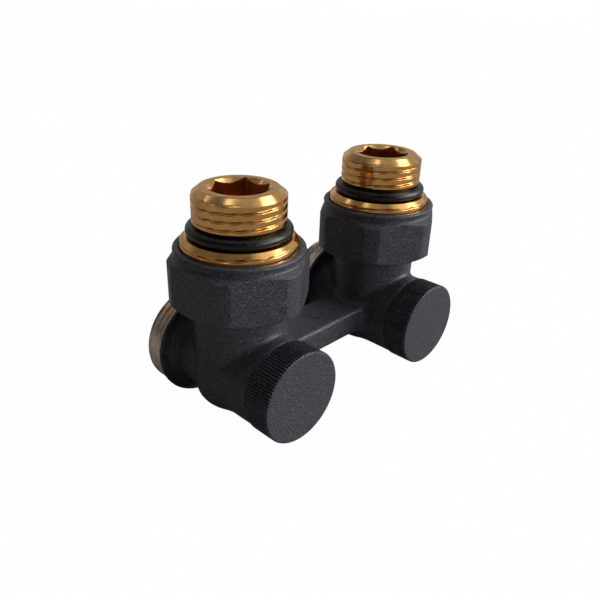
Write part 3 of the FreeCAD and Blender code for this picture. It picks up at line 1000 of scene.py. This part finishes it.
@dataclass
class PipeEnd(LegPart):
    """Bare threaded brass end behind a shoulder, with its waterway."""

    start: float = 14.6
    end: float = 21.0
    root: float = 12.0
    chamfer: float = 1.2
    mouth: float = 9.4
    mouth_edge: Range = (0.15, 0.12)
    bore: float = 8.0
    cone_start: float = 16.5
    seat_end: float = 8.5
    seat_cone: float = 6.0
    seat_hole: float = 4.6
    seat_back: float = 4.2
    seat_wall: float = 5.3
    seat_wall_end: float = 7.0
    sleeve: float = 8.8
    sleeve_start: float = 8.9
    thread_depth: float = 0.3
    thread_run_in: float = 1.4

    def build(self) -> None:
        """Make the piece."""
        shape = Turning(even_angles(self.points))
        shape.ring(self.root, self.start - 0.4)
        shape.ring(PIPE_CREST, self.start - 0.3, CUT)
        wide, deep = self.mouth_edge
        shape.trace(
            (PIPE_CREST, self.end - self.chamfer, THREAD_STEP, CUT),
            (PIPE_CREST - self.chamfer, self.end, CHAMFER_STEP, CUT),
            (self.mouth + wide, self.end, 0.6),
            (self.mouth, self.end - deep, 0.6),
            (self.bore, self.cone_start, 0.6),
            (self.bore, self.seat_end, 1.0),
            (self.seat_hole, self.seat_cone, 1.0),
            (self.seat_hole, self.seat_back, 1.0),
            (self.seat_wall, self.seat_back, 1.0),
            (self.seat_wall, self.seat_wall_end, 3.0),
            (self.sleeve, self.sleeve_start, 3.0),
            (self.sleeve, self.start - 0.4, 3.0))
        piece = shape.make(self.name("pipe_end"))
        self.palette.thread.apply(piece, self.palette.pipe_brass, {
            "Pitch": PIPE_PITCH, "Depth": self.thread_depth, "Crest Radius": PIPE_CREST,
            "Clearance": 0.0, "Turn": 0.0, "Start": self.start + 0.2, "Run In": self.thread_run_in})
        place(piece, self.side, Facing.BACK)
        finish_piece(piece, "valve_block", ["valve_body"])


@dataclass
class StubEnd(LegPart):
    """Threaded brass stub that carries the cap."""

    points: int = 144
    start: float = 12.6
    end: float = 18.7
    crest: float = 9.5
    chamfer: float = 0.6
    bore: float = 7.3
    pitch: float = 1.5
    depth: float = 0.8
    thread_start: float = 14.1
    thread_run_in: float = 0.8

    def build(self) -> None:
        """Make the piece."""
        shape = Turning(even_angles(self.points))
        shape.ring(self.bore, self.start)
        shape.ring(self.crest, self.start)
        shape.trace(
            (self.crest, self.end - self.chamfer, CHAMFER_STEP, CUT),
            (self.crest - self.chamfer, self.end, CHAMFER_STEP, CUT),
            (self.bore, self.end, 0.6),
            (self.bore, self.start + 0.5, 2.0))
        piece = shape.make(self.name("stub_end"))
        self.palette.thread.apply(piece, self.palette.brass, {
            "Pitch": self.pitch, "Depth": self.depth, "Crest Radius": self.crest, "Clearance": 0.0,
            "Turn": 0.0, "Start": self.thread_start, "Run In": self.thread_run_in})
        place(piece, self.side, Facing.FRONT)
        finish_piece(piece, "valve_block", ["valve_body"])


@dataclass
class UnionNut(LegPart):
    """Hexagon union nut with a turned collar, turned corners and an inside thread."""

    turns: Range = (34.5, 33.5)
    flat_radius: float = 15.0
    flat_sharpness: float = 4000.0
    corner_radius: float = 16.236
    flat_span: float = 45.0
    bottom: float = 17.2
    top: float = 30.9
    collar_radius: float = 14.9
    collar_bottom: float = 28.6
    cone_bottom: float = 27.85
    foot_radius: float = 14.5
    foot_cone: float = 1.1
    lip_radius: float = 11.4
    lip_top: float = 19.2
    bore: float = 13.3
    mouth: float = 13.75
    mouth_edge: Range = (0.2, 0.12)
    thread_root: float = 12.3
    thread_low: float = 23.0
    thread_lead_in: float = 1.2
    thread_clearance: float = 0.08
    top_edge: float = 0.62
    paint: float = 0.14
    waist: float = 0.35
    border_steps: tuple[float, ...] = (0.0, 0.35, 0.75, 1.25, 1.9, 2.8, 4.2)
    band_steps: tuple[float, ...] = (15.5, 20.0, 25.0)

    def angles(self) -> np.ndarray:
        """Directions that crowd round the borders between flats and turned corners.

        Returns:
            The angles in radians.
        """
        border = (60.0 - self.flat_span) / 2
        near = np.array(self.border_steps)
        half = np.unique(np.concatenate([border - near[near < border], border + near[1:], self.band_steps]))
        sector = np.concatenate([-half[::-1], [0.0], half, [30.0]])
        return np.radians(np.concatenate([sector + 60.0 * corner for corner in range(6)]))

    def turned(self, height: float) -> float:
        """Radius of the turned outside at one height, before the flats are cut.

        Args:
            height: height on the neck.

        Returns:
            The radius.
        """
        rise = (self.corner_radius - self.foot_radius) / self.foot_cone
        foot = self.foot_radius + rise * (height - self.bottom)
        fall = (self.corner_radius - self.collar_radius) / (self.collar_bottom - self.cone_bottom)
        part = (height - self.collar_bottom) / (self.top - self.top_edge - self.collar_bottom)
        hollow = self.waist * math.sin(math.pi * min(max(part, 0.0), 1.0)) ** 0.5
        cone = max(self.corner_radius - fall * (height - self.cone_bottom), self.collar_radius - hollow)
        return min(foot, self.corner_radius, cone)

    def outline(self, angle: np.ndarray, height: float) -> np.ndarray:
        """Outside of the painted nut at one height.

        Args:
            angle: directions of the points.
            height: height on the neck.

        Returns:
            Distance from the axis in each direction.
        """
        flats = soft_polygon(angle, 6, self.flat_radius, self.flat_sharpness)
        lifts = np.linspace(-0.5, 0.5, 5) * self.paint
        average = float(np.mean([self.turned(height + lift) for lift in lifts]))
        return soft_min(flats, np.full_like(angle, average), self.paint)

    def build(self) -> None:
        """Make the piece."""
        turn = self.side.pick(self.turns)
        shape = Turning(self.angles())
        shape.ring(self.lip_radius, self.bottom + 0.2)
        shape.ring(self.lip_radius + 0.2, self.bottom)
        shape.ring(self.foot_radius - 0.5, self.bottom)
        for lift, inset in ((0.04, 0.2), (0.12, 0.06)):
            shape.ring(self.outline(shape.angles, self.bottom + lift) - inset, self.bottom + lift)
        heights = np.concatenate([
            np.arange(self.bottom + 0.2, self.bottom + 1.6, 0.1),
            np.arange(self.bottom + 1.7, self.cone_bottom - 0.5, 0.8),
            np.arange(self.cone_bottom - 0.4, self.collar_bottom + 0.4, 0.05),
            np.arange(self.collar_bottom + 0.5, self.top - self.top_edge - 0.1, 0.3)])
        for height in heights:
            shape.ring(self.outline(shape.angles, height), height)
        shape.corner((self.collar_radius - self.top_edge, self.top - self.top_edge), self.top_edge,
                     5.0, 90.0, 9)
        wide, deep = self.mouth_edge
        shape.trace(
            (self.mouth, self.top, 0.4),
            (self.mouth - wide, self.top - deep, 0.4),
            (self.thread_root, self.top - self.thread_lead_in, THREAD_STEP, MATE),
            (self.thread_root, self.thread_low, THREAD_STEP, MATE),
            (self.bore, self.thread_low - 1.0, 0.3),
            (self.bore, self.lip_top, 1.0),
            (self.lip_radius, self.lip_top, 0.7))
        piece = shape.make(self.name("union_nut_shell"))
        self.palette.thread.apply(piece, self.palette.paint, {
            "Pitch": PIPE_PITCH, "Depth": PIPE_THREAD_DEPTH, "Crest Radius": PIPE_CREST,
            "Clearance": self.thread_clearance, "Turn": math.radians(turn), "Start": 0.0, "Run In": 0.1})
        piece.data.materials.append(self.palette.brass)
        for face in piece.data.polygons:
            within = math.hypot(face.center.x, face.center.y) < self.bore + 0.2
            if within and self.bottom + 0.5 < face.center.z < self.top - 0.3:
                face.material_index = 1
        place(piece, self.side, Facing.UP, turn)
        finish_piece(piece, self.name("nut"), [self.name("union_nut")],
                     sharp=60.0)


@dataclass
class Nipple(LegPart):
    """Brass double nipple: wide lower thread, ring groove, narrow upper thread and socket."""

    socket_turns: Range = (38.0, 14.0)
    bottom: float = 24.3
    wide_top: float = 33.3
    wide_chamfer: float = 1.0
    groove: float = 9.45
    groove_top: float = 35.85
    groove_chamfer: float = 0.7
    crest: float = 10.478
    top: float = 43.95
    lead_in: float = 1.45
    face_radius: float = 8.75
    face_edge: Range = (0.06, 0.05)
    countersink: float = 6.95
    socket_flat: float = 6.0
    socket_sharpness: float = 600.0
    socket_depth: float = 9.0
    socket_drops: tuple[float, ...] = (0.03, 0.1, 0.2, 0.3, 0.4, 0.5, 0.6, 0.7, 0.8, 0.9, 1.0, 1.15,
                                       3.0, 5.0, 7.0)
    bore: float = 5.2
    tail_bore: float = 7.5
    tail_top: float = 27.3
    tail_cone: float = 2.3
    cut_radius: float = 8.55

    def socket(self, angle: np.ndarray, height: float) -> np.ndarray:
        """Wall of the hexagon socket with its round countersink.

        Args:
            angle: directions of the points.
            height: height on the neck.

        Returns:
            Distance from the axis in each direction.
        """
        turn = math.radians(self.side.pick(self.socket_turns))
        hexagon = soft_polygon(angle - turn, 6, self.socket_flat, self.socket_sharpness)
        return np.maximum(hexagon, self.countersink - (self.top - height))

    def build(self) -> None:
        """Make the piece."""
        shape = Turning(even_angles(self.points))
        low = PIPE_CREST - self.wide_chamfer
        wide, deep = self.face_edge
        shape.ring(self.tail_bore, self.bottom)
        shape.trace(
            (low, self.bottom, 1.5),
            (PIPE_CREST, self.bottom + self.wide_chamfer, CHAMFER_STEP, CUT),
            (PIPE_CREST, self.wide_top - self.wide_chamfer, THREAD_STEP, CUT),
            (low, self.wide_top - 0.02, THREAD_STEP, CUT),
            (low - 0.1, self.wide_top, 0.1),
            (self.groove, self.wide_top, 0.7),
            (self.groove, self.groove_top, 0.5),
            (self.crest, self.groove_top + self.groove_chamfer, CHAMFER_STEP, CUT),
            (self.crest, self.top - self.lead_in, THREAD_STEP, CUT),
            (self.face_radius + wide, self.top - deep, THREAD_STEP, CUT),
            (self.face_radius - 0.1, self.top, 0.06),
            (self.countersink + 0.06, self.top, 0.25))
        for drop in (*self.socket_drops, self.socket_depth):
            shape.ring(self.socket(shape.angles, self.top - drop), self.top - drop)
        floor = self.top - self.socket_depth
        shape.pen = (self.socket_flat, floor)
        shape.trace(
            (self.bore, floor - 0.3, 0.5),
            (self.bore, self.tail_top + self.tail_cone, 1.5),
            (self.tail_bore, self.tail_top, 1.0),
            (self.tail_bore, self.bottom + 0.4, 1.0))
        piece = shape.make(self.name("threaded_nipple"))
        for crest, upper in ((PIPE_CREST, False), (self.crest, True)):
            self.mark_zone(piece, upper)
            self.palette.thread.apply(piece, self.palette.brass, {
                "Pitch": PIPE_PITCH, "Depth": PIPE_THREAD_DEPTH, "Crest Radius": crest,
                "Clearance": 0.0, "Turn": 0.0, "Start": 0.0, "Run In": 0.1})
        place(piece, self.side)
        finish_piece(piece, self.name("nipple_set"), [self.name("nipple")])

    def mark_zone(self, piece: bpy.types.Object, upper: bool) -> None:
        """Mark only the points of one of the two threads.

        Args:
            piece: the nipple, still about the Z axis.
            upper: whether the narrow upper thread is wanted.
        """
        mesh = piece.data
        points = np.empty(len(mesh.vertices) * 3)
        mesh.vertices.foreach_get("co", points)
        x, y, z = points.reshape(-1, 3).T
        cut = (np.hypot(x, y) > self.cut_radius) & (z > self.bottom + 0.001) & (z < self.top - 0.01)
        middle = (self.wide_top + self.groove_top) / 2
        zone = z > middle if upper else z < self.wide_top - 0.001
        mesh.attributes["cut"].data.foreach_set("value", (cut & zone).astype(float))


@dataclass
class RubberRing(LegPart):
    """O-ring in the groove between the nipple's two threads."""

    points: int = 144
    section: float = 1.2
    ring_radius: float = 10.70
    height: float = 34.575
    steps: int = 32

    def build(self) -> None:
        """Make the piece."""
        shape = Turning(even_angles(self.points))
        for angle in even_angles(self.steps):
            shape.ring(self.ring_radius + self.section * math.cos(angle),
                       self.height + self.section * math.sin(angle))
        piece = shape.make(self.name("rubber_ring"))
        piece.data.materials.append(self.palette.rubber)
        place(piece, self.side)
        finish_piece(piece, self.name("nipple_set"), [self.name("nipple_o_ring")],
                     sharp=180.0)


@dataclass
class Cap(LegPart):
    """Knurled cap over the shut-off spindle."""

    points: int = 768
    radius: float = 11.35
    face: float = 21.0
    rim: float = 14.2
    face_inset: float = 0.4
    face_edge: tuple[tuple[float, float, float], ...] = (
        (-0.25, 0.0, 0.0), (-0.08, 0.0, 0.0), (0.0, 0.02, 0.0), (0.12, 0.08, CUT), (0.24, 0.18, CUT),
        (0.34, 0.28, CUT))
    edge_drop: float = 0.42
    bore: float = 9.58
    end_wall: float = 1.3
    rib_count: int = 96
    rib_depth: float = 0.36

    def build(self) -> None:
        """Make the piece."""
        shape = Turning(even_angles(self.points))
        for reach, drop, mark in self.face_edge:
            shape.ring(self.radius - self.face_inset + reach, self.face - drop, mark)
        shape.ring(self.radius, self.face - self.edge_drop, CUT)
        shape.trace((self.radius, self.rim + 0.3, 0.6, CUT))
        shape.ring(self.radius - 0.08, self.rim + 0.12, CUT)
        shape.ring(self.radius - 0.28, self.rim)
        shape.ring(self.bore + 0.3, self.rim)
        shape.ring(self.bore, self.rim + 0.3)
        shape.trace((self.bore, self.face - self.end_wall, 1.5))
        shape.ring(self.bore - 1.0, self.face - self.end_wall)
        piece = shape.make(self.name("knurled_cap"), closed=False)
        self.palette.ribs.apply(piece, self.palette.paint, {
            "Rib Count": float(self.rib_count), "Depth": self.rib_depth, "Crest Radius": self.radius,
            "Start": self.rim + 0.1, "Run In": 0.15})
        place(piece, self.side, Facing.FRONT)
        finish_piece(piece, self.name("cap_screw"), [self.name("cap")], sharp=35.0)


def dress_nodes(palette: Palette) -> None:
    """Give every carried-over solid its material.

    Args:
        palette: shared materials.
    """
    by_part = {"union_gasket": palette.fibre, "retaining_ring": palette.steel,
               "circlip": palette.steel, "spindle_o_ring": palette.rubber,
               "seat_washer": palette.rubber, "spindle": palette.brass, "cap_gasket": palette.fibre}
    for side in Side:
        for part, material in by_part.items():
            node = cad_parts[f"{side.value}_{part}"]
            for index in range(len(node.material_slots)):
                node.material_slots[index].material = material
            log.info("%s dressed in %s", node.name, material.name)


# Studio


@dataclass(frozen=True)
class Glow:
    """A soft patch of light in the surroundings."""

    azimuth: float
    elevation: float
    half_width: float
    strength: float

    def toward(self) -> Vector:
        """Direction from the object to the middle of the patch."""
        turn, lift = math.radians(self.azimuth), math.radians(self.elevation)
        return Vector((math.cos(turn) * math.cos(lift), math.sin(turn) * math.cos(lift), math.sin(lift)))


@dataclass(frozen=True)
class SoftLight:
    """A rectangular light that looks at the object; distance and size in metres, power in watts."""

    name: str
    toward: tuple[float, float, float]
    distance: float
    size: Range
    power: float

    def hang(self, target: Vector) -> None:
        """Put the light in the scene.

        Args:
            target: the place that it looks at.
        """
        lamp = bpy.data.lights.new(self.name, "AREA")
        lamp.shape = "RECTANGLE"
        lamp.size, lamp.size_y = self.size
        lamp.energy = self.power
        aim = Vector(self.toward).normalized()
        holder = bpy.data.objects.new(self.name, lamp)
        holder.rotation_euler = aim.to_track_quat("Z", "Y").to_euler()
        holder.location = target + aim * self.distance
        bpy.context.scene.collection.objects.link(holder)


@dataclass
class Studio:
    """Floor, soft lights, surroundings and camera."""

    glows: tuple[Glow, ...] = (
        Glow(-45.0, 3.0, 24.0, 5.2), Glow(-45.0, 28.0, 22.0, 4.9), Glow(-75.0, 10.0, 22.0, 3.2),
        Glow(-60.0, 46.0, 30.0, 0.9), Glow(-15.0, 10.0, 22.0, 0.4), Glow(0.0, 90.0, 28.0, 0.36),
        Glow(0.0, 10.0, 40.0, 0.24), Glow(45.0, 10.0, 40.0, 0.36), Glow(90.0, 10.0, 40.0, 0.26),
        Glow(0.0, 46.0, 34.0, 0.20), Glow(120.0, 46.0, 34.0, 0.12), Glow(180.0, 46.0, 34.0, 0.08))
    ambient: float = 0.012
    lights: tuple[SoftLight, ...] = (
        SoftLight("key", (0.550, -0.191, 0.813), 0.7, (0.23, 0.23), 0.50),
        SoftLight("overhead", (-0.205, 0.072, 0.977), 0.8, (0.09, 0.26), 0.10),
        SoftLight("behind", (-0.250, 0.583, 0.773), 0.8, (0.035, 0.25), 0.06))
    light_target: tuple[float, float, float] = (0.0, 0.0, 0.025)
    floor_half: float = 3.0
    floor_shade: float = 0.45
    floor_glow: float = 0.99
    camera_place: tuple[float, float, float] = (-109.361, -97.936, 95.829)
    yaw: float = -0.818069
    pitch: float = 0.466907
    roll: float = 0.0372904
    focal_pixels: float = 621.161
    frame_pixels: float = 600.0
    sensor: float = 36.0
    nearest: float = 0.005

    def add_camera(self) -> None:
        """Put the camera where the photograph was taken from."""
        level = math.cos(self.pitch)
        back = Vector((math.sin(self.yaw) * level, -math.cos(self.yaw) * level, math.sin(self.pitch)))
        right = Vector((math.cos(self.yaw), math.sin(self.yaw), 0.0))
        up = back.cross(right)
        c, s = math.cos(self.roll), math.sin(self.roll)
        axes = Matrix((c * right + s * up, c * up - s * right, back)).transposed()
        camera = bpy.data.cameras.new("camera")
        camera.sensor_width = self.sensor
        camera.lens = self.focal_pixels * self.sensor / self.frame_pixels
        camera.clip_start = self.nearest
        holder = bpy.data.objects.new("camera", camera)
        holder.matrix_world = Matrix.Translation(Vector(self.camera_place) * MM) @ axes.to_4x4()
        bpy.context.scene.collection.objects.link(holder)
        bpy.context.scene.camera = holder

    def add_floor(self) -> None:
        """Lay the pale floor: white to the eye, and still shadowed."""
        half = self.floor_half
        mesh = bpy.data.meshes.new("floor")
        corners = [(-half, -half, 0.0), (half, -half, 0.0), (half, half, 0.0), (-half, half, 0.0)]
        mesh.from_pydata(corners, [], [(0, 1, 2, 3)])
        floor = bpy.data.objects.new("floor", mesh)
        bpy.context.scene.collection.objects.link(floor)
        material = bpy.data.materials.new("pale_floor")
        material.use_nodes = True
        material.node_tree.nodes.clear()
        board = NodeBoard(material.node_tree)
        matt = board.add("ShaderNodeBsdfDiffuse", Color=(self.floor_shade,) * 3 + (1.0,))
        glow = board.add("ShaderNodeEmission", Color=(1.0, 1.0, 1.0, 1.0), Strength=1.0)
        ray = board.add("ShaderNodeLightPath").outputs["Is Camera Ray"]
        mix = board.add("ShaderNodeMixShader")
        parts = (board.math("MULTIPLY", ray, self.floor_glow), matt.outputs[0], glow.outputs[0])
        for socket, part in zip(mix.inputs, parts):
            board.feed(socket, part)
        board.add("ShaderNodeOutputMaterial", Surface=mix.outputs[0])
        mesh.materials.append(material)

    def add_surroundings(self) -> None:
        """Set the room: white to the eye, dark on the left and bright at the front right."""
        world = bpy.data.worlds.new("room")
        world.use_nodes = True
        world.node_tree.nodes.clear()
        board = NodeBoard(world.node_tree)
        direction = board.add("ShaderNodeTexCoord").outputs["Generated"]
        level = self.ambient
        for glow in self.glows:
            near = board.add("ShaderNodeVectorMath", {"operation": "DOT_PRODUCT"})
            board.feed(near.inputs[0], direction)
            board.feed(near.inputs[1], glow.toward())
            edge = math.cos(math.radians(glow.half_width))
            patch = board.ramp(near.outputs["Value"], (edge, 1.0), 0.0, glow.strength)
            level = board.math("ADD", level, patch)
        shade = board.add("ShaderNodeCombineColor", Red=level, Green=level, Blue=level)
        room = board.add("ShaderNodeBackground", Color=shade.outputs[0], Strength=1.0)
        white = board.add("ShaderNodeBackground", Color=(1.0, 1.0, 1.0, 1.0), Strength=1.0)
        ray = board.add("ShaderNodeLightPath").outputs["Is Camera Ray"]
        mix = board.add("ShaderNodeMixShader")
        for socket, part in zip(mix.inputs, (ray, room.outputs[0], white.outputs[0])):
            board.feed(socket, part)
        board.add("ShaderNodeOutputWorld", Surface=mix.outputs[0])
        bpy.context.scene.world = world

    def build(self) -> None:
        """Set up everything round the object."""
        bpy.context.scene.view_settings.view_transform = "Standard"
        self.add_camera()
        self.add_floor()
        self.add_surroundings()
        for light in self.lights:
            light.hang(Vector(self.light_target))


def main() -> None:
    """Build the block, piece by piece, and the studio round it."""
    logging.basicConfig(level=logging.INFO, format="%(name)s: %(message)s")
    palette = Palette.mixed()
    Casting(palette).build()
    for side in Side:
        for part in (PipeEnd, StubEnd, UnionNut, Nipple, RubberRing, Cap):
            part(palette, side).build()
    dress_nodes(palette)
    Studio().build()


if __name__ == "__main__":
    main()
